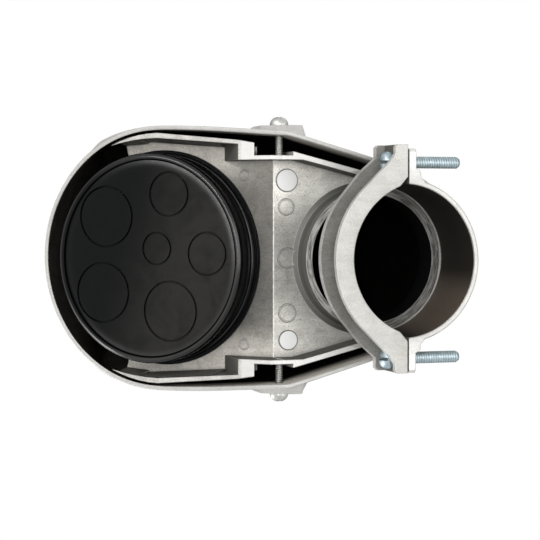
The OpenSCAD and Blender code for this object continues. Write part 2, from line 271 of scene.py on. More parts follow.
class Nodes:
    """Short hand for building a node tree."""

    def __init__(self, tree):
        self.tree = tree
        tree.nodes.clear()

    def add(self, kind, **settings):
        """A node with its properties set."""
        node = self.tree.nodes.new(kind)
        for key, value in settings.items():
            setattr(node, key, value)
        return node

    def put(self, socket, value):
        """Links a socket to a socket, or sets its value."""
        if isinstance(value, bpy.types.NodeSocket):
            self.tree.links.new(value, socket)
        elif isinstance(value, (tuple, list)) and socket.type == "RGBA":
            socket.default_value = tuple(value)[:3] + (1.0,)
        else:
            socket.default_value = value

    def math(self, kind, a, b=0.0, c=0.0, clamp=False):
        """A Math node's output."""
        node = self.add("ShaderNodeMath", operation=kind, use_clamp=clamp)
        for socket, value in zip(node.inputs, (a, b, c)):
            self.put(socket, value)
        return node.outputs[0]

    def times(self, first, *others):
        """The product of the values."""
        for value in others:
            first = self.math("MULTIPLY", first, value)
        return first

    def plus(self, a, b, clamp=False):
        """The sum of two values."""
        return self.math("ADD", a, b, clamp=clamp)

    def minus(self, a, b):
        """The first value less the second."""
        return self.math("SUBTRACT", a, b)

    def apart(self, a, b):
        """How far apart two values are."""
        return self.math("ABSOLUTE", self.minus(a, b))

    def across(self, a, b):
        """The root of the sum of two squares."""
        return self.math("SQRT", self.plus(self.times(a, a), self.times(b, b)))

    def ramp(self, value, low, high, to_low=0.0, to_high=1.0):
        """Value from low..high to to_low..to_high, eased at both ends."""
        node = self.add("ShaderNodeMapRange", interpolation_type="SMOOTHSTEP")
        for socket, v in zip(node.inputs, (value, low, high, to_low, to_high)):
            self.put(socket, v)
        return node.outputs[0]

    def above(self, value, limit, soft):
        """1 above the limit, gone at soft below it."""
        return self.ramp(value, limit - soft, limit)

    def below(self, value, limit, soft):
        """1 below the limit, gone at soft above it."""
        return self.ramp(value, limit + soft, limit)

    def mix(self, factor, a, b, kind="MIX"):
        """Colour a to b by factor."""
        node = self.add("ShaderNodeMix", data_type="RGBA", blend_type=kind)
        self.put(node.inputs["Factor"], factor)
        self.put(node.inputs[6], a)
        self.put(node.inputs[7], b)
        return node.outputs[2]

    def tint(self, base, tone):
        """A colour times a tone."""
        return self.mix(1.0, base, tone, "MULTIPLY")

    def grey(self, value):
        """A grey of that value."""
        node = self.add("ShaderNodeCombineColor")
        for socket in node.inputs:
            self.put(socket, value)
        return node.outputs[0]

    def noise(self, where, scale, detail=4.0, rough=0.55, distort=0.0):
        """Noise of so many features a metre."""
        node = self.add("ShaderNodeTexNoise")
        self.put(node.inputs["Vector"], where)
        self.put(node.inputs["Scale"], scale)
        self.put(node.inputs["Detail"], detail)
        self.put(node.inputs["Roughness"], rough)
        self.put(node.inputs["Distortion"], distort)
        return node.outputs["Fac"]

    def object_point(self):
        """Object coordinates and their X, Y and Z."""
        point = self.add("ShaderNodeTexCoord").outputs["Object"]
        split = self.add("ShaderNodeSeparateXYZ")
        self.put(split.inputs[0], point)
        return point, split.outputs

    def object_normal(self):
        """X, Y and Z of the surface's direction in the piece's own frame."""
        split = self.add("ShaderNodeSeparateXYZ")
        self.put(split.inputs[0], self.add("ShaderNodeTexCoord").outputs["Normal"])
        return split.outputs

    def relief(self, height, strength, distance, edge=0.0, shaped=None, share=0.0):
        """A bump from height, over edges softened to a small radius. A shaped direction
        takes the place of the softened one by its share."""
        bump = self.add("ShaderNodeBump")
        self.put(bump.inputs["Height"], height)
        self.put(bump.inputs["Strength"], strength)
        self.put(bump.inputs["Distance"], distance)
        if edge:
            soft = self.add("ShaderNodeBevel", samples=4)
            self.put(soft.inputs["Radius"], edge)
            normal = soft.outputs[0]
            if shaped is not None:
                both = self.add("ShaderNodeMix", data_type="VECTOR")
                self.put(both.inputs["Factor"], share)
                self.put(both.inputs[4], normal)
                self.put(both.inputs[5], shaped)
                normal = both.outputs[1]
            self.put(bump.inputs["Normal"], normal)
        return bump.outputs[0]

    def surface(self, base, rough, normal=None, **values):
        """The Principled shader and the output. Gives back the shader."""
        shader = self.add("ShaderNodeBsdfPrincipled")
        self.put(shader.inputs["Base Color"], base)
        self.put(shader.inputs["Roughness"], rough)
        if normal is not None:
            self.put(shader.inputs["Normal"], normal)
        for key, value in values.items():
            self.put(shader.inputs[key.replace("_", " ")], value)
        out = self.add("ShaderNodeOutputMaterial")
        self.put(out.inputs[0], shader.outputs[0])
        return shader


def new_material(name):
    """An empty node material and its helper."""
    m = bpy.data.materials.new(name)
    m.use_nodes = True
    return m, Nodes(m.node_tree)


# ---------- finishes ----------

# Features a metre of the noises in the cast skin
PATCHES, FLOW, STAINS, SPECKS, GRAINS, PITS = 75, 170, 95, 1500, 2600, 1700
FLOW_STRETCH = (0.6, 2.4, 1.0)          # the metal's flow marks run long in X

# Tones that brighten or dull the skin by place: the parts' own tones, then painted light on the
# level plate and painted shade and light along the slope
PLAIN = (1.0, 1.0, 1.0)
BASE_TONE, STRAP_TONE, HOOD_TONE = (1.0, 0.99, 0.97), (0.90, 0.90, 0.88), (0.84, 0.84, 0.825)
PLATE_LIT = (1.36, 1.36, 1.35)
SLOPE_MIDDLE_SHADE, SLOPE_ENDS_LIT = (0.37, 0.362, 0.352), (1.34, 1.315, 1.275)

# Colours that take the skin's place; those noted below are painted light and shade
# painted shade on upright walls and in the bore, and a painted warm highlight low in the bore
WALL_SHADE = (0.040, 0.038, 0.033)
BORE_SHADE, BORE_HIGHLIGHT = (0.026, 0.023, 0.020), (0.12, 0.098, 0.078)
STOP_DARK, STOP_LIGHT = (0.10, 0.097, 0.088), (0.38, 0.375, 0.355)
# painted shade on one side of the ring's flare, and in the throat
RING_SHADE = (0.090, 0.088, 0.081)
THROAT_SHADE = (0.006, 0.006, 0.006)
PAD_WHITE = (0.76, 0.76, 0.755)
# painted highlight along the ridge where the plate turns up
RIDGE_HIGHLIGHT = (0.82, 0.81, 0.76)
# the channel colour is painted shade over an olive tint
STRAP_NEAR, STRAP_CHANNEL_SHADE = (0.52, 0.515, 0.50), (0.062, 0.060, 0.048)
# the gap colour is painted light on the inside of the hood above its rim
HOOD_UNDER, HOOD_GAP_LIGHT = (0.48, 0.475, 0.46), (0.42, 0.40, 0.36)
# painted shade in the insert's fine groove
GROOVE_SHADE = (0.0008, 0.0008, 0.0008)

# Places on the base casting: radii round the conduit's axis, and heights
THROAT_R = 0.0265           # opening of the conduit stop
RING_R = 0.0290             # ring that stands down from the plate
RING_EDGE_R = 0.0375        # past its flare
BORE_R = 0.0308             # inside of the collar
STOP_Z = 0.032              # underside of the conduit stop
WALL_TOP_Z = 0.038          # tops of the tray's walls and arms stand below this
PLATE_SEEN_Z = 0.0411       # the level plate's marks show above this
INSERT_FACE_R = 0.0424      # edge of the insert's face
LEVEL = -0.97               # a face whose Z direction is below this is level
MAIN_VIEW = (0.315, 0.036, -0.948)       # the main camera's line of sight, between the openings' two axes; corners turned across it get painted shade


def cast_skin(k, s, tone, seed):
    """Mottled cast skin: broad dull patches, streaks of metal flow, stains, speckle, pits."""
    point, xyz = k.object_point()
    shift = k.add("ShaderNodeMapping")
    k.put(shift.inputs["Vector"], point)
    k.put(shift.inputs["Location"], (seed * 0.31, seed * 0.17, seed * 0.53))
    where = shift.outputs[0]
    streak = k.add("ShaderNodeMapping")
    k.put(streak.inputs["Vector"], where)
    k.put(streak.inputs["Scale"], FLOW_STRETCH)
    patches = k.ramp(k.noise(where, PATCHES, 6, 0.62, 0.6), 0.38, 0.62)
    flow = k.ramp(k.noise(streak.outputs[0], FLOW, 5, 0.62, 0.9), 0.38, 0.62)
    clean = k.plus(k.times(patches, 0.45), k.times(flow, 0.25), clamp=True)
    base = k.tint(k.mix(clean, tuple(s.dark), tuple(s.light)), tone)
    stains = k.ramp(k.noise(where, STAINS, 4, 0.6, 1.2), 0.56, 0.72, 0.0, 0.35)
    base = k.mix(stains, base, tuple(s.stain))
    speck = k.noise(where, SPECKS, 4, 0.75)
    base = k.tint(base, k.grey(k.ramp(speck, 0.36, 0.64, 0.84, 1.14)))
    pits = k.ramp(k.noise(where, PITS, 2, 0.5), 0.64, 0.70, 0.0, 0.6)
    base = k.mix(pits, base, tuple(s.hollow))
    rough = k.plus(s.roughness - 0.10, k.times(speck, 0.22))
    height = k.plus(k.times(k.noise(where, GRAINS, 2, 0.6), 0.35), k.times(speck, 0.9))
    return base, rough, height, xyz


def cast_edges(k, s, base, worn_and_lit=0.65, corner_shade=0.75):
    """Paints a highlight, partly wear, on outer corners, found where the softened and the true
    directions part, painted shade into inner corners and hollows, found by how much of the open
    air they see, and painted shade on the sides of corners, found by how far they turn from the
    main camera's line of sight."""
    air = k.add("ShaderNodeAmbientOcclusion", samples=6, only_local=True)
    k.put(air.inputs["Distance"], s.reach)
    soft = k.add("ShaderNodeBevel", samples=4)
    k.put(soft.inputs["Radius"], 1.6 * s.edge)
    dot = k.add("ShaderNodeVectorMath", operation="DOT_PRODUCT")
    k.put(dot.inputs[0], soft.outputs[0])
    k.put(dot.inputs[1], k.add("ShaderNodeNewGeometry").outputs["Normal"])
    corner = k.ramp(k.minus(1.0, dot.outputs["Value"]), 0.01, 0.10)
    open_air = k.ramp(air.outputs["AO"], 0.45, 0.75)
    own = k.add("ShaderNodeVectorTransform", vector_type="NORMAL", convert_from="WORLD",
                convert_to="OBJECT")
    k.put(own.inputs[0], soft.outputs[0])
    along = k.add("ShaderNodeVectorMath", operation="DOT_PRODUCT")
    k.put(along.inputs[0], own.outputs[0])
    k.put(along.inputs[1], MAIN_VIEW)
    turned = k.minus(1.0, k.math("ABSOLUTE", along.outputs["Value"]))
    away = k.times(corner, k.ramp(turned, 0.12, 0.30))
    # painted shade where little open air is seen
    shade = k.ramp(air.outputs["AO"], 0.20, 0.80, corner_shade, 0.0)
    base = k.mix(shade, base, tuple(s.hollow))
    # painted highlight, partly wear, on outer corners in the open
    base = k.mix(k.times(corner, open_air, worn_and_lit), base, tuple(s.rim))
    # painted shade on corners turned across the main camera's line of sight
    base = k.mix(k.times(away, 0.85), base, tuple(s.turned_shade))
    # painted shade in inner corners
    inner = k.times(corner, k.minus(1.0, open_air))
    return k.mix(k.times(inner, corner_shade), base, tuple(s.hollow))


def cast_surface(k, s, base, rough, bump, dull):
    """The cast shader, with less metal and less shine where it is dull."""
    shown = k.minus(1.0, dull)
    k.surface(base, rough, bump, Metallic=k.times(shown, s.metallic),
              Specular_IOR_Level=k.times(shown, 0.5))


def plate_light_and_shade(k, base, where, direction, level, from_axis):
    """Paints light on the level plate, with painted shadow round the collar and painted shade
    along its middle, and paints shade and light on the slope beside the insert, dull at its
    middle and bright at its two ends."""
    x, y, z = where
    nx, _, nz = direction
    # painted light on the level plate
    base = k.tint(base, k.mix(level, PLAIN, PLATE_LIT))
    # painted shade at the slope's middle beside the insert, painted light at its ends
    slope = k.times(k.above(nx, 0.68, 0.13), k.below(nz, -0.65, 0.15))
    proud = k.minus(k.minus(x, z), RIDGE_X - PLATE_Z)
    strip = k.times(slope, k.below(proud, 0.002, 0.002))
    ends = k.mix(k.ramp(k.apart(y, 0.002), 0.027, 0.044), SLOPE_MIDDLE_SHADE, SLOPE_ENDS_LIT)
    base = k.tint(base, k.mix(strip, PLAIN, ends))
    # painted shadow round the collar, painted light on the side of positive Y, painted shade
    # along the middle
    near_collar = k.ramp(from_axis, 0.035, 0.045, 0.66, 1.0)
    left_side = k.ramp(y, 0.012, 0.030, 1.0, 1.32)
    middle = k.ramp(k.math("ABSOLUTE", y), 0.006, 0.026, 0.72, 1.0)
    shaded = k.tint(base, k.grey(k.times(near_collar, left_side, middle)))
    return k.mix(level, base, shaded)


def collar_shade_and_rings(k, base, where, nz, down, upright, from_axis):
    """Paints shade on the walls that stand upright, in the bore, on one side of the ring's flare
    and in the throat, paints a warm highlight low on one side of the bore, and gives the conduit
    stop its turned rings."""
    x, y, z = where
    base = k.mix(k.times(upright, 0.9), base, WALL_SHADE)
    bore = k.times(k.below(from_axis, BORE_R, 0.0003), upright)
    toward = k.minus(0.0, k.math("DIVIDE", k.plus(x, y), from_axis))
    # painted shade in the bore with a painted warm highlight low on one side
    base = k.mix(bore, base, k.mix(k.ramp(toward, 1.10, 1.41), BORE_SHADE, BORE_HIGHLIGHT))
    turned = k.add("ShaderNodeCombineXYZ")
    k.put(turned.inputs[0], from_axis)
    k.put(turned.inputs[1], k.times(k.math("ARCTAN2", y, x), 0.0015))
    rings = k.ramp(k.noise(turned.outputs[0], 2300, 3, 0.7), 0.42, 0.60)
    stop = k.times(down, k.below(from_axis, BORE_R, 0.0004), k.above(z, STOP_Z, 0.002))
    base = k.mix(stop, base, k.mix(rings, STOP_DARK, STOP_LIGHT))
    # painted shade on the ring's flare, on the side of positive X only
    ring = k.times(k.above(from_axis, RING_R, 0.0002), k.below(from_axis, RING_EDGE_R, 0.001),
                   k.above(nz, -0.90, 0.07), k.above(z, 0.026, 0.002), k.above(x, 0.004, 0.004))
    base = k.mix(k.times(ring, 0.95), base, RING_SHADE)
    # painted shade in the throat
    return k.mix(k.below(from_axis, THROAT_R, 0.0002), base, THROAT_SHADE)


def plate_marks(k, x, y):
    """Masks of the ejector pads, and of the painted shadow lines round pads and tool rings."""
    pads, shadow_lines = 0.0, 0.0
    for px, py, r, dark in MARKS:
        away = k.across(k.minus(x, px), k.minus(y, py))
        shadow_lines = k.math("MAXIMUM", shadow_lines, k.ramp(k.apart(away, r), 0.0004, 0.0001, 0.0, dark))
        if dark == PAD_SHADOW:
            pads = k.math("MAXIMUM", pads, k.below(away, r - 0.0003, 0.0002))
    return pads, shadow_lines


def base_finish(s):
    """Base casting: painted light on the level plate, painted shade on the slope, in the bore
    and on the walls, painted highlights on edges and the ridge, painted shadow lines round pads
    and rings, and bright pads.
    """
    m, k = new_material("cast_base")
    base, rough, height, where = cast_skin(k, s, BASE_TONE, 1)
    x, y, z = where
    nx, ny, nz = k.object_normal()
    from_axis = k.across(x, y)
    down = k.below(nz, LEVEL, 0.12)
    level = k.times(down, k.above(z, PLATE_Z - 0.0008, 0.0004))
    base = plate_light_and_shade(k, base, where, (nx, ny, nz), level, from_axis)
    outward = k.math("DIVIDE", k.plus(k.times(x, nx), k.times(y, ny)), from_axis)
    shaded = k.math("MAXIMUM", k.above(z, 0.039, 0.003), k.ramp(outward, 0.2, -0.2))
    upright = k.times(k.ramp(k.math("ABSOLUTE", nz), 0.55, 0.2), shaded)
    base = collar_shade_and_rings(k, base, where, nz, down, upright, from_axis)
    # painted light: the tops of the tray's walls and the collar's mouth are lightened towards
    # the rim colour
    wall_tops = k.times(k.below(nz, -0.68, 0.13), k.below(z, WALL_TOP_Z, 0.0015),
                        k.above(from_axis, 0.0378, 0.001))
    base = k.mix(k.times(wall_tops, 0.6), base, tuple(s.rim))
    mouth = k.times(k.below(z, 0.0004, 0.0008), k.below(nz, -0.9, 0.3))
    base = k.mix(k.times(mouth, 0.45), base, tuple(s.rim))
    base = cast_edges(k, s, base)
    pads, shadow_lines = plate_marks(k, x, y)
    on_plate = k.times(down, k.above(z, PLATE_SEEN_Z, 0.0011))
    base = k.mix(k.times(pads, on_plate, 0.9), base, PAD_WHITE)
    # painted shadow lines round the pads and tool rings
    base = k.mix(k.times(shadow_lines, on_plate), base, tuple(s.hollow))
    # painted highlight along the ridge, broken up by noise
    ridge = k.times(k.below(k.apart(x, RIDGE_X), 0.0001, 0.00022),
                    k.below(z, PLATE_Z + 0.0002, 0.0006))
    broken = k.ramp(k.noise(k.object_point()[0], 600, 3, 0.7), 0.35, 0.6, 0.35, 0.9)
    base = k.mix(k.times(ridge, broken), base, RIDGE_HIGHLIGHT)
    cast_surface(k, s, base, rough, k.relief(height, 0.45, s.grain, s.edge),
                 k.times(upright, 0.95))
    return m


def strap_finish(s):
    """Clamp strap: pale speckled faces and an olive channel darkened with painted shade."""
    m, k = new_material("cast_strap")
    base, rough, height, where = cast_skin(k, s, STRAP_TONE, 2)
    z, nz = where[2], k.object_normal()[2]
    near = k.times(k.above(k.math("ABSOLUTE", nz), 0.9, 0.3), k.below(z, 0.001, 0.001))
    base = k.mix(k.times(near, 0.35), base, STRAP_NEAR)
    # painted shade in the channel, over an olive tint
    channel = k.times(k.above(z, 0.0027, 0.0003), k.below(z, 0.0152, 0.0004))
    base = k.mix(k.times(channel, 0.92), base, STRAP_CHANNEL_SHADE)
    base = cast_edges(k, s, base, worn_and_lit=0.75, corner_shade=0.5)
    cast_surface(k, s, base, rough, k.relief(height, 0.5, s.grain, s.edge),
                 k.times(channel, 0.85))
    return m


def hood_finish(s):
    """Hood outside, with a duller rim and lands underneath."""
    m, k = new_material("cast_hood")
    base, rough, height, _ = cast_skin(k, s, HOOD_TONE, 3)
    under = k.below(k.object_normal()[2], -0.7, 0.45)
    base = k.mix(k.times(under, 0.5), base, HOOD_UNDER)
    k.surface(base, rough, k.relief(height, 0.4, s.grain), Metallic=s.metallic)
    return m


def hood_inside_finish(s):
    """Painted shade on the inside of the hood, darker to the rear, with a painted light band
    above the rim there.
    """
    m, k = new_material("hood_inside")
    point, (x, _, z) = k.object_point()
    tone = k.ramp(k.noise(point, 120, 5, 0.6, 0.8), 0.35, 0.7)
    base = k.mix(tone, tuple(s.inside), tuple(1.8 * c for c in s.inside))
    # painted shade, darker to the rear
    base = k.tint(base, k.grey(k.ramp(x, 0.060, 0.090, 0.15, 1.0)))
    rim_z = k.math("MAXIMUM", RIM_Z, k.minus(x, RIM_BEND_X - RIM_Z))
    # painted light in a band above the rim
    band = k.times(k.below(k.minus(z, rim_z), 0.008, 0.008), k.below(x, 0.070, 0.015))
    base = k.mix(band, base, HOOD_GAP_LIGHT)
    k.surface(base, 0.6, k.relief(k.noise(point, SPECKS, 2), 0.3, s.grain), Metallic=0.0,
              Specular_IOR_Level=0.1)
    return m


def rolled(k, u, y, radius, amount):
    """The insert's front direction, leaned outwards from its middle by an amount of its
    length."""
    lean = k.math("DIVIDE", amount, radius)
    slant = k.times(u, lean, math.sqrt(0.5))
    out = k.add("ShaderNodeCombineXYZ")
    for socket, value in zip(out.inputs, (k.plus(slant, math.sqrt(0.5)), k.times(y, lean),
                                          k.minus(slant, math.sqrt(0.5)))):
        k.put(socket, value)
    turn = k.add("ShaderNodeVectorTransform", vector_type="NORMAL", convert_from="OBJECT",
                 convert_to="WORLD")
    k.put(turn.inputs[0], out.outputs[0])
    unit = k.add("ShaderNodeVectorMath", operation="NORMALIZE")
    k.put(unit.inputs[0], turn.outputs[0])
    return unit.outputs[0]


def insert_finish(s):
    """Black moulded plastic: a faint painted sheen, partly dust, over the lower part of its
    face, fine texture, and a face that rolls over towards a groove with painted shade and a
    rounded, polished bead."""
    m, k = new_material("insert_plastic")
    point, (x, y, z) = k.object_point()
    fine = k.noise(point, 2400, 3, 0.6)
    scuff = k.noise(point, 320, 4, 0.7)
    height = k.plus(k.times(fine, 0.4), k.times(scuff, 0.3))
    up_slope = k.times(k.plus(k.minus(x, RIDGE_X), k.minus(z, PLATE_Z)), math.sqrt(0.5))
    u = k.minus(up_slope, INSERT_U)
    radius = k.across(u, y)
    nx, _, nz = k.object_normal()
    forward = k.times(k.minus(nx, nz), math.sqrt(0.5))
    front = k.times(k.above(forward, 0.97, 0.07), k.below(radius, INSERT_FACE_R, 0.0003))
    # painted sheen, partly dust, lighter towards the lower part of the face
    low = k.ramp(k.plus(u, k.times(y, 0.3)), 0.020, -0.022)
    bloom_and_sheen = k.times(low, k.ramp(k.noise(point, 60, 4, 0.6, 1.4), 0.30, 0.60, 0.55, 1.0))
    base = k.mix(k.times(bloom_and_sheen, front), tuple(s.body), tuple(s.dust_and_sheen))
    # painted shade in the fine groove
    groove = k.below(k.apart(radius, s.groove), 0.0002, 0.0003)
    base = k.mix(groove, base, GROOVE_SHADE)
    bead = k.above(radius, s.groove + 0.0003, 0.0003)
    face_roll = k.ramp(radius, s.groove - 0.006, s.groove - 0.0004, 0.0, 0.34)
    bead_roll = k.ramp(radius, s.groove + 0.0004, s.groove + 0.0022, 0.12, 0.66)
    roll = k.plus(k.times(k.minus(1.0, bead), face_roll), k.times(bead, bead_roll))
    zone = k.times(k.above(forward, 0.80, 0.08), k.below(radius, s.groove + 0.0022, 0.0003))
    rim = k.times(k.ramp(radius, s.groove - 0.003, s.groove + 0.0004),
                  k.ramp(u, 0.032, 0.004))
    rough = k.plus(s.roughness - 0.06, k.times(scuff, 0.22))
    rough = k.minus(rough, k.times(bead, 0.10))
    shine = k.plus(s.shine, k.times(rim, zone, s.polish - s.shine))
    shine = k.times(shine, k.minus(1.0, groove))
    normal = k.relief(height, 0.22, 0.0001, 0.0003, rolled(k, u, y, radius, roll), zone)
    shader = k.surface(base, rough, normal, Metallic=0.0, Specular_IOR_Level=shine)
    shader.inputs["Specular IOR Level"].default_value = s.shine     # for use unlinked
    return m


def plated_finish(name, s, bright, across, shank, major, minor):
    """Plated screw: painted shade in the thread roots, found by the distance across the axis,
    with a plate whose reflection dies off at grazing angles."""
    m, k = new_material(name)
    point, xyz = k.object_point()
    radius = k.across(*across(k, *xyz))
    skirt = 0.15 * (major - minor)
    on_shank = shank(k, *xyz)
    # painted shade in the thread roots
    root = k.times(on_shank, k.ramp(radius, minor + skirt, major - skirt, 0.3, 0.0))
    base = k.mix(root, tuple(bright), tuple(s.shade))
    wear = k.ramp(k.noise(point, 700, 3, 0.6), 0.35, 0.7, 0.82, 1.1)
    base = k.tint(base, k.grey(wear))
    rough = k.plus(s.roughness, k.times(k.noise(point, SPECKS, 2), 0.12))
    k.surface(base, rough, Metallic=0.97, Specular_IOR_Level=0.05,
              Specular_Tint=tuple(s.grazing))
    return m


def clamp_screw_finish(s):
    """Bluish zinc on the clamp screws, which lie along X."""
    return plated_finish(
        "zinc_clamp_screws", s, s.zinc,
        lambda k, x, y, z: (k.minus(k.math("ABSOLUTE", y), CLAMP_Y), k.minus(z, CLAMP_Z)),
        lambda k, x, y, z: k.math("LESS_THAN", x, CLAMP_SEAT_X),
        s.clamp_major, s.clamp_minor)


def hood_screw_finish(s):
    """Plain plate on the hood screws, which lie along Y."""
    return plated_finish(
        "plated_hood_screws", s, s.steel,
        lambda k, x, y, z: (k.minus(x, HOOD_SCREW_X), k.minus(z, HOOD_SCREW_Z)),
        lambda k, x, y, z: k.math("LESS_THAN", k.math("ABSOLUTE", y), LAND_Y),
        s.hood_major, s.hood_minor)


# ---------- pieces ----------

def finish_cad(node, material):
    """Keeps a CAD solid: welds its loose triangles, smooths its round faces, adds the finish."""
    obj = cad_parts[node]
    obj.data.materials.clear()
    obj.data.materials.append(material)
    obj.data.polygons.foreach_set("use_smooth", np.ones(len(obj.data.polygons), bool))
    weld = obj.modifiers.new("weld", "WELD")
    weld.merge_threshold = WELD
    split = obj.modifiers.new("edges", "EDGE_SPLIT")
    split.split_angle = math.radians(FLAT_ANGLE)
    return obj


def ease(v, low=0.0, high=1.0):
    """Runs from 0 to 1 between low and high, level at both ends."""
    t = np.clip((v - low) / (high - low), 0, 1)
    return t * t * (3 - 2 * t)


def hood_outline(s, inset, count):
    """Plan outline, set in by inset: rear arc, straight flank, side that widens as a sine to
    the power 1.3, and a front ellipse. Resampled evenly, finer at the lands, then eased."""
    waist_x, arc_x, flank_x = RIM_BEND_X, 0.0826, 0.002
    flank_angle, rear_end = 15.8, 108
    land_x, land_reach, land_share = 0.041, 0.011, 1.6
    w = s.waist - inset
    y0 = w - (waist_x - flank_x) * math.tan(math.radians(flank_angle))
    a = np.radians(np.linspace(180, rear_end, 40))
    r = s.rear - inset
    rear = np.stack([r * np.cos(a), r * np.sin(a)], -1)
    t = np.linspace(0, 1, 40)[:, None]
    flank = np.hstack([flank_x + (waist_x - flank_x) * t, y0 + (w - y0) * t])
    side = np.hstack([waist_x + (arc_x - waist_x) * t,
                      w + (s.width - inset - w) * np.sin(np.pi / 2 * t) ** 1.3])
    a = np.radians(np.linspace(90, 0, 90))
    front = np.stack([arc_x + (s.front - 0.7 * inset - arc_x) * np.cos(a),
                      (s.width - inset) * np.sin(a)], -1)
    half = np.concatenate([rear, flank, side[1:], front[1:]])
    loop = np.concatenate([half, (half * [1, -1])[-2:0:-1]])
    closed = np.concatenate([loop, loop[:1]])
    x = (closed[1:, 0] + closed[:-1, 0]) / 2
    weight = 1 + land_share * np.exp(-((x - land_x) / land_reach) ** 4)
    step = np.linalg.norm(np.diff(closed, axis=0), axis=1)
    along = np.concatenate([[0], np.cumsum(step * weight)])
    at = np.linspace(0, along[-1], count, endpoint=False)
    even = np.stack([np.interp(at, along, closed[:, i]) for i in (0, 1)], -1)
    for _ in range(6):
        even = (np.roll(even, 1, 0) + 2 * even + np.roll(even, -1, 0)) / 4
    return even


def rim_height(s, x):
    """Level at the rear, then up the slope at 45 degrees, eased over the bend."""
    e = x - RIM_BEND_X
    bend = 2 * MM
    return s.rim + (e + np.sqrt(e * e + bend * bend)) / 2


def dome_rows(s, loop, inset, steps):
    """Meridians from the rim to the crown, parts of a superellipse of power n: the reach runs
    as (cos a / cos a0)^(2/n), the height as sin(a)^(2/n) from its value at a0. The start a0 is
    0, upright, and grows to the lean in front of the base's arms. The power is 2.6, less 0.5
    in front and with 0.6 more at the sides."""
    dx = loop[:, 0] - CROWN_X
    reach = np.hypot(dx, loop[:, 1])
    front = ease(dx / reach, ARM_COS, 1.0)
    power = 2.6 - 0.5 * front + 0.6 * np.abs(loop[:, 1]) / reach
    k = 2 / power
    a0 = s.lean * front
    a = a0 + (np.pi / 2 - a0) * steps[:, None]
    c = (1 - 0.7 * s.lip * front / reach) * (np.cos(a) / np.cos(a0)) ** k
    low = np.sin(a0) ** k
    up = (np.sin(a) ** k - low) / (1 - low)
    z0 = rim_height(s, loop[:, 0]) + s.lip * (1 - 0.3 * front)
    return np.stack([CROWN_X + dx * c, loop[:, 1] * c, z0 + (s.top - inset - z0) * up], -1)


def raise_lands(s, points):
    """Pushes the outer skin out to the flat of the screw lands, eased at their edges: rear
    and front in X, foot above the rim and head in Z."""
    rear, front = (0.0312, 0.0326), (0.0510, 0.0474)
    foot, head = (0.0006, 0.0014), (0.0467, 0.0450)
    x, y, z = points[..., 0], points[..., 1], points[..., 2]
    land = (ease(x, *rear) * ease(-x, -front[0], -front[1])
            * ease(z - rim_height(s, x), *foot) * ease(-z, -head[0], -head[1]))
    points[..., 1] = y + np.sign(y) * np.clip(LAND_Y - np.abs(y), 0, None) * land
    return points


def rim_corner(s, first, inset, flat, count):
    """Quarter rounds of the rim: from the dome's first row to the flat of the rim, as
    corner + (first - corner)(1 - sin a) + (flat - corner)(1 - cos a)."""
    def level(d):
        loop = hood_outline(s, d, count)
        return np.column_stack([loop, rim_height(s, loop[:, 0])])
    corner, end = level(inset), level(flat)
    a = np.radians(np.linspace(0, 90, 6))[1:, None, None]
    return corner + (first - corner) * (1 - np.sin(a)) + (end - corner) * (1 - np.cos(a))


class WEATHERHEAD_OT_castings(bpy.types.Operator):
    """Finishes the base casting and the clamp strap"""
    bl_idname = "weatherhead.castings"
    bl_label = "Finish castings"

    def execute(self, context):
        s = context.scene.weatherhead_cast
        finish_cad("base_casting", base_finish(s))
        finish_cad("clamp_strap", strap_finish(s))
        return {"FINISHED"}


class WEATHERHEAD_OT_insert(bpy.types.Operator):
    """Finishes the moulded wire insert"""
    bl_idname = "weatherhead.insert"
    bl_label = "Finish insert"

    def execute(self, context):
        finish_cad("wire_insert", insert_finish(context.scene.weatherhead_insert))
        return {"FINISHED"}


class WEATHERHEAD_OT_hood(bpy.types.Operator):
    """Builds the hood: a domed shell with a rounded rim, lands and screw holes"""
    bl_idname = "weatherhead.hood"
    bl_label = "Build hood"

    def execute(self, context):
        s = context.scene.weatherhead_hood
        cols = 360
        # rows up the dome, closer together near the rim
        low = np.linspace(0, 1, 26) ** 1.6 * 0.19
        high = np.linspace(0.21, 0.99, 34)
        outer = dome_rows(s, hood_outline(s, 0, cols), 0, np.concatenate([low, high]))
        inner = dome_rows(s, hood_outline(s, s.wall, cols), s.wall,
                          np.concatenate([low[::3], high[::2]]))
        rim = np.concatenate([rim_corner(s, outer[0], 0, s.lip, cols),
                              rim_corner(s, inner[0], s.wall, s.wall - s.lip, cols)[::-1]])
        outer = raise_lands(s, outer)[::-1]
        verts, faces = closed_tube(np.concatenate([outer, rim, inner]))
        verts[-2:] = [[CROWN_X, 0, s.top], [CROWN_X, 0, s.top - s.wall]]
        cast = context.scene.weatherhead_cast
        shell = make_object("hood_shell", verts, faces,
                            [hood_finish(cast), hood_inside_finish(cast)])
        # the rows past the rim, and the last fan, get the inside's material
        split = (len(outer) + len(rim) - 1) * cols
        index = np.zeros(len(faces), np.int32)
        index[split:len(faces) - 2 * cols] = 1
        index[-cols:] = 1
        shell.data.polygons.foreach_set("material_index", index)
        cut(shell, [self.hole(s, side) for side in (1, -1)])
        sharpen(shell, 40)
        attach(shell, "base")
        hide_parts("hood")
        return {"FINISHED"}

    def hole(self, s, side):
        """A round cutter through one land, along Y."""
        rings = place(revolve([(s.hole, 0.0), (s.hole, 0.017)], 40).reshape(-1, 3),
                      (HOOD_SCREW_X, 0.045 * side, HOOD_SCREW_Z), (0, side, 0))
        return make_object("hole_cutter", *closed_tube(rings.reshape(2, -1, 3)), [])


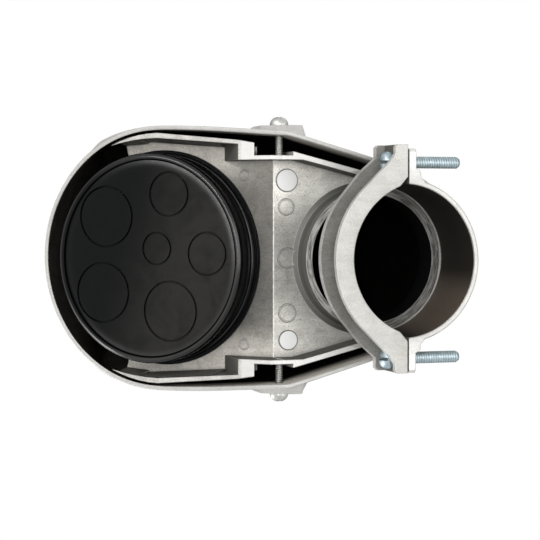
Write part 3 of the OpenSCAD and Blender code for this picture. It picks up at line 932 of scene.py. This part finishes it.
def thread(length_, major, minor, pitch, tip, around=48):
    """Screw shank: radius runs between root and crest as a triangle wave of (height / pitch
    - angle) with flat crests, fading out at the head and shrinking over the tip."""
    rows_a_turn, tip_share = 10, 0.75
    rows = int(length_ / pitch * rows_a_turn)
    z = np.linspace(0, -length_, rows)[:, None]
    a = np.linspace(0, 2 * np.pi, around, endpoint=False)[None]
    phase = (z / pitch - a / (2 * np.pi)) % 1.0
    wave = np.clip(1.35 * (1 - np.abs(2 * phase - 1)) - 0.1, 0, 1)
    fade = np.clip(-z / (0.5 * pitch), 0, 1)
    r = major + (minor - major) * (1 - wave) * fade
    end = minor * tip_share
    r = np.minimum(r, end + (major - end) * np.clip((z + length_) / tip, 0, 1))
    return np.stack([r * np.cos(a), r * np.sin(a), np.broadcast_to(z, r.shape)], -1)[::-1]


def screw(name, origin, axis, shank, profile, cutters, material):
    """One screw: threaded shank and a head with its drive cut in, turned to its axis."""
    head = make_object(name + "_head", *closed_tube(revolve(profile, 72)), [material])
    cut(head, [make_object("cutter", *closed_tube(c), []) for c in cutters])
    n = len(head.data.vertices)
    verts = np.empty(n * 3)
    head.data.vertices.foreach_get("co", verts)
    faces = [list(p.vertices) for p in head.data.polygons]
    bpy.data.objects.remove(head)
    shank_verts, shank_faces = closed_tube(shank)
    verts = np.concatenate([verts.reshape(-1, 3), shank_verts])
    faces += [[v + n for v in f] for f in shank_faces]
    obj = make_object(name, place(verts, origin, axis), faces, [material])
    sharpen(obj, 32)            # on the head only: the threads stay smooth
    ends = np.empty(len(obj.data.edges) * 2, np.int32)
    obj.data.edges.foreach_get("vertices", ends)
    sharp = obj.data.attributes["sharp_edge"].data
    marks = np.empty(len(ends) // 2, bool)
    sharp.foreach_get("value", marks)
    sharp.foreach_set("value", marks & (ends.reshape(-1, 2).min(1) < n))
    return obj


def prism(xs, ys, z0, z1):
    """An upright box as two rings."""
    ring = np.array([[xs[0], ys[0]], [xs[1], ys[0]], [xs[1], ys[1]], [xs[0], ys[1]]])
    return np.stack([np.hstack([ring, np.full((4, 1), z)]) for z in (z0, z1)])


def recess(arm, half, floor, top):
    """A cross-shaped recess, narrower at its floor, as rings of twelve points."""
    def ring(a, h, z):
        p = [(a, -h), (a, h), (h, h), (h, a), (-h, a), (-h, h),
             (-a, h), (-a, -h), (-h, -h), (-h, -a), (h, -a), (h, -h)]
        return [(x, y, z) for x, y in p]
    return np.array([ring(0.45 * arm, 0.7 * half, floor), ring(arm, half, top)])


class WEATHERHEAD_OT_clamp_screws(bpy.types.Operator):
    """Builds the two clamp screws: round slotted heads and threaded shanks"""
    bl_idname = "weatherhead.clamp_screws"
    bl_label = "Build clamp screws"

    def execute(self, context):
        s = context.scene.weatherhead_screws
        material = clamp_screw_finish(s)
        shank = thread(s.clamp_length, s.clamp_major, s.clamp_minor, s.clamp_pitch, 0.001)
        profile = np.array([[0.4, 0], [4.1, 0], [4.28, 0.15], [4.3, 0.4], [4.3, 1.5],
                            [4.22, 2.1], [4.0, 2.7], [3.6, 3.3], [3.0, 3.75], [2.2, 4.1],
                            [1.2, 4.32], [0.4, 4.39]]) * MM
        slot = prism((-0.00065, 0.00065), (-0.006, 0.006), 0.0024, 0.0064)
        for name, side in (("left", 1), ("right", -1)):
            node = "clamp_screw_" + name
            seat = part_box(node)[1][0] - CLAMP_HEAD
            obj = screw(node + "_zinc", (seat, side * CLAMP_Y, CLAMP_Z), (1, 0, 0),
                        shank, profile, [slot], material)
            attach(obj, node)
            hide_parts(node)
        return {"FINISHED"}


class WEATHERHEAD_OT_hood_screws(bpy.types.Operator):
    """Builds the two hood screws: domed heads with a cross recess and threaded shanks"""
    bl_idname = "weatherhead.hood_screws"
    bl_label = "Build hood screws"

    def execute(self, context):
        s = context.scene.weatherhead_screws
        material = hood_screw_finish(s)
        profile = np.array([[0.3, 0], [3.6, 0], [3.74, 0.12], [3.75, 0.6], [3.66, 1.1],
                            [3.45, 1.65], [3.05, 2.25], [2.5, 2.8], [1.85, 3.2], [1.1, 3.45],
                            [0.3, 3.58]]) * MM
        for name, side in (("left", 1), ("right", -1)):
            node = "hood_screw_" + name
            low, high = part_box(node)
            ends = sorted((abs(low[1]), abs(high[1])))
            seat = ends[1] - HOOD_HEAD
            shank = thread(seat - ends[0], s.hood_major, s.hood_minor, s.hood_pitch, 0.0008, 40)
            cross = recess(0.0026, 0.0005, 0.0015, 0.0045)
            obj = screw(node + "_zinc", (HOOD_SCREW_X, side * seat, HOOD_SCREW_Z),
                        (0, side, 0), shank, profile, [cross], material)
            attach(obj, node)
            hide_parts(node)
        return {"FINISHED"}


# ---------- stage ----------

# Lamps: name, setting with its watts, place, width and height, direction of its width
LAMPS = (("front", "front", (0.32, 0.12, -0.90), (0.5, 0.5), (1, 0, 0)),
         ("low_strip", "strip", (0.66, 0.26, -0.71), (0.6, 0.08), (0.19, 0.89, 0.41)),
         ("high_strip", "strip", (0.81, 0.57, -0.32), (0.6, 0.08), (0.33, 0.20, 0.92)),
         ("side", "side", (-0.45, 0.0, -0.80), (0.4, 0.4), (1, 0, 0)),
         ("fill", "fill", (0.95, -0.60, 0.55), (0.3, 0.3), (0, 1, 0)),
         ("over_left", "top", (0.7, -0.7, 0.9), (0.7, 0.7), (1, 0, 0)),
         ("over_right", "top", (-0.6, 0.7, 0.8), (0.7, 0.7), (1, 0, 0)))
LAMPS_AIM = (0.04, 0.0, 0.05)
FLOOR_HALF, FLOOR_Z = 1.6, -0.0015
LENS, SENSOR = 118.03, 36.0
CAMERA_PLACE = (0.2710, 0.0219, -0.6472)
CAMERA_RIGHT = (-0.94888, 0, -0.31565)
CAMERA_UP = (-0.01146, 0.99934, 0.03444)
CAMERA_BACK = (0.31544, 0.03630, -0.94825)


def pale_floor(s):
    """Floor seen from above and clear from below, and clear to the lamps under it, both for
    their light and for their reflections."""
    m, k = new_material("pale_floor")
    tone = k.ramp(k.noise(k.object_point()[0], 3, 3), 0.3, 0.7, 0.97, 1.0)
    diffuse = k.add("ShaderNodeBsdfDiffuse")
    k.put(diffuse.inputs["Color"], k.tint(tuple(s.floor), k.grey(tone)))
    clear = k.add("ShaderNodeBsdfTransparent")
    path = k.add("ShaderNodeLightPath")
    behind = k.add("ShaderNodeNewGeometry").outputs["Backfacing"]
    see_through = k.math("MAXIMUM", behind, k.math("MAXIMUM", path.outputs["Is Shadow Ray"],
                                                   path.outputs["Is Glossy Ray"]))
    blend = k.add("ShaderNodeMixShader")
    k.put(blend.inputs[0], see_through)
    k.put(blend.inputs[1], diffuse.outputs[0])
    k.put(blend.inputs[2], clear.outputs[0])
    out = k.add("ShaderNodeOutputMaterial")
    k.put(out.inputs[0], blend.outputs[0])
    return m


def facing(where, at, along):
    """Place of a lamp at where that shines at a point, with its length near along."""
    back = (Vector(where) - Vector(at)).normalized()
    side = (Vector(along) - back * back.dot(Vector(along))).normalized()
    turn = Matrix((side, back.cross(side), back)).transposed()
    return Matrix.Translation(where) @ turn.to_4x4()


class WEATHERHEAD_OT_stage(bpy.types.Operator):
    """Builds the floor, the room light, the lamps and the camera"""
    bl_idname = "weatherhead.stage"
    bl_label = "Build stage"

    def execute(self, context):
        s = context.scene.weatherhead_stage
        scene = context.scene
        corners = [(FLOOR_HALF * i, FLOOR_HALF * j, FLOOR_Z)
                   for i, j in ((-1, -1), (1, -1), (1, 1), (-1, 1))]
        floor = make_object("floor", corners, [(0, 1, 2, 3)], [pale_floor(s)], False)
        world = bpy.data.worlds.new("room")
        scene.world = world
        world.use_nodes = True
        k = Nodes(world.node_tree)
        path = k.add("ShaderNodeLightPath").outputs
        seen = k.math("MAXIMUM", path["Is Camera Ray"],
                      k.math("MAXIMUM", path["Is Glossy Ray"], path["Is Transmission Ray"]))
        back = k.add("ShaderNodeBackground")
        k.put(back.inputs["Color"], (1.0, 1.0, 1.0))
        k.put(back.inputs["Strength"],
              k.plus(k.times(seen, 1 - s.ambient), s.ambient))
        out = k.add("ShaderNodeOutputWorld")
        k.put(out.inputs[0], back.outputs[0])
        for name, setting, where, size, along in LAMPS:
            lamp = bpy.data.lights.new(name, "AREA")
            lamp.energy, lamp.shape = getattr(s, setting), "RECTANGLE"
            lamp.size, lamp.size_y = size
            obj = bpy.data.objects.new(name, lamp)
            scene.collection.objects.link(obj)
            obj.matrix_world = facing(where, LAMPS_AIM, along)
        camera = bpy.data.cameras.new("camera")
        camera.lens, camera.sensor_width = LENS, SENSOR
        camera.clip_start, camera.clip_end = 0.05, 20.0
        obj = bpy.data.objects.new("camera", camera)
        scene.collection.objects.link(obj)
        turn = Matrix((CAMERA_RIGHT, CAMERA_UP, CAMERA_BACK)).transposed()
        obj.matrix_world = Matrix.Translation(CAMERA_PLACE) @ turn.to_4x4()
        scene.camera = obj
        scene.view_settings.view_transform = "Standard"
        return {"FINISHED"}


class WEATHERHEAD_PT_panel(bpy.types.Panel):
    """Lists the operators and their settings"""
    bl_label = "Weatherhead"
    bl_idname = "WEATHERHEAD_PT_panel"
    bl_space_type = "VIEW_3D"
    bl_region_type = "UI"
    bl_category = "Weatherhead"

    def draw(self, context):
        for op in OPERATORS:
            self.layout.operator(op.bl_idname)
        for name, group in SETTINGS.items():
            box = self.layout.box()
            box.label(text=group.__doc__)
            for key in group.__annotations__:
                box.prop(getattr(context.scene, name), key)


OPERATORS = (WEATHERHEAD_OT_castings, WEATHERHEAD_OT_insert, WEATHERHEAD_OT_hood,
             WEATHERHEAD_OT_clamp_screws, WEATHERHEAD_OT_hood_screws, WEATHERHEAD_OT_stage)


def register():
    """Adds the classes and the scene's settings."""
    for cls in tuple(SETTINGS.values()) + OPERATORS + (WEATHERHEAD_PT_panel,):
        bpy.utils.register_class(cls)
    for name, group in SETTINGS.items():
        setattr(bpy.types.Scene, name, bpy.props.PointerProperty(type=group))


def unregister():
    """Takes them away again."""
    for name in SETTINGS:
        delattr(bpy.types.Scene, name)
    for cls in (WEATHERHEAD_PT_panel,) + OPERATORS[::-1] + tuple(SETTINGS.values()):
        bpy.utils.unregister_class(cls)


def main():
    """Builds everything."""
    register()
    for call in (bpy.ops.weatherhead.castings, bpy.ops.weatherhead.insert,
                 bpy.ops.weatherhead.hood, bpy.ops.weatherhead.clamp_screws,
                 bpy.ops.weatherhead.hood_screws, bpy.ops.weatherhead.stage):
        call()


if __name__ == "__main__":
    main()
